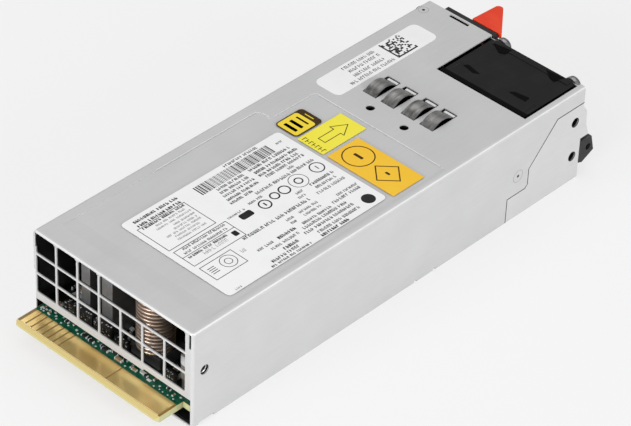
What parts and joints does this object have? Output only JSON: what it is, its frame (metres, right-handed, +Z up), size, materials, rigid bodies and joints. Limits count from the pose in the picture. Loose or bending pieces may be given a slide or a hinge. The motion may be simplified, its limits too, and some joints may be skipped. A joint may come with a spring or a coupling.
{
  "type": "hot swap server power supply",
  "caption": "Slim sheet-metal server power supply with a card edge at the front, and a fan, mains inlet, side release latch and folding handle at the rear.",
  "frame": {"origin": "under the middle of the whole part, on the plane of the case's flat bottom", "axes": "+Y runs from the card edge at the front to the handle at the rear, +X to the fan's side, +Z up"},
  "size_m": [0.0754, 0.218, 0.0409],
  "materials": {
    "cover_metal": "satin galvanised sheet",
    "base_metal": "satin galvanised sheet",
    "panel_metal": "satin galvanised sheet",
    "screw_metal": "zinc plated",
    "spring_steel": "dull spring temper",
    "board_laminate": "green solder mask on glass laminate",
    "gold": "gold plate on copper",
    "black_film": "insulating film",
    "post_metal": "turned",
    "fan_plastic": "moulded black",
    "bearing_bronze": "sintered sleeve",
    "motor_copper": "enamelled wire on laminations",
    "rotor_plastic": "moulded black",
    "shaft_steel": "ground",
    "guard_chrome": "bright plated wire",
    "inlet_plastic": "moulded black",
    "pin_metal": "nickel plated",
    "inlet_laminate": "green solder mask",
    "housing_plastic": "moulded black",
    "latch_orange": "moulded orange red",
    "catch_steel": "stamped",
    "light_lens": "clear light guide",
    "handle_plastic": "moulded black",
    "coil_copper": "enamelled copper",
    "ferrite": "dark ferrite",
    "sink_aluminium": "plain",
    "device_plastic": "moulded package",
    "winding_tape": "polyester tape",
    "sleeve_plastic": "shrink sleeve",
    "choke_green": "coated ring",
    "film_capacitor": "cast box",
    "relay_plastic": "moulded case",
    "fuse_ceramic": "ceramic tube",
    "can_aluminium": "bare can"
  },
  "bodies": {
    "case": {"top_cover": "cover_metal", "base_pan": "base_metal", "rear_panel": "panel_metal", "case_screws": "screw_metal", "grounding_strip": "spring_steel", "main_board": "board_laminate", "power_pads": "gold", "signal_pads": "gold", "insulating_film": "black_film", "board_posts": "post_metal", "board_screws": "screw_metal", "fan_frame": "fan_plastic", "fan_bearing": "bearing_bronze", "fan_motor": "motor_copper", "fan_guard": "guard_chrome", "fan_screws": "screw_metal", "inlet_body": "inlet_plastic", "inlet_pins": "pin_metal", "inlet_board": "inlet_laminate", "latch_housing": "housing_plastic", "status_light": "light_lens", "handle_feet": "handle_plastic", "handle_pins": "shaft_steel", "output_coil": "coil_copper", "coil_core": "ferrite", "front_heat_sinks": "sink_aluminium", "rectifier_switches": "device_plastic", "transformer_core": "ferrite", "transformer_winding": "winding_tape", "bulk_capacitors": "sleeve_plastic", "choke_ring": "choke_green", "choke_winding": "coil_copper", "mains_heat_sink": "sink_aluminium", "mains_switches": "device_plastic", "filter_choke": "choke_green", "filter_capacitor": "film_capacitor", "relay": "relay_plastic", "fuse": "fuse_ceramic", "output_capacitors": "can_aluminium", "control_board": "board_laminate", "latch_spring": "spring_steel"},
    "fan_rotor": {"fan_rotor": "rotor_plastic", "fan_shaft": "shaft_steel"},
    "release_latch": {"release_latch": "latch_orange", "latch_catch": "catch_steel"},
    "handle": {"handle_bail": "handle_plastic"}
  },
  "joints": [
    {"name": "fan_spin", "type": "hinge", "parent": "case", "child": "fan_rotor", "pos_m": [0.01485, 0.0818, 0.0198], "axis": [0, 1, 0], "continuous": true},
    {"name": "latch_slide", "type": "slide", "parent": "case", "child": "release_latch", "axis": [1, 0, 0], "range_m": [0, 0.004], "stiffness_N_per_m": 600, "springref_m": -0.002, "deforming": ["latch_spring"]},
    {"name": "handle_swing", "type": "hinge", "parent": "case", "child": "handle", "pos_m": [0.01485, 0.0978, 0.0106], "axis": [-1, 0, 0], "range_deg": [0, 90]}
  ]
}
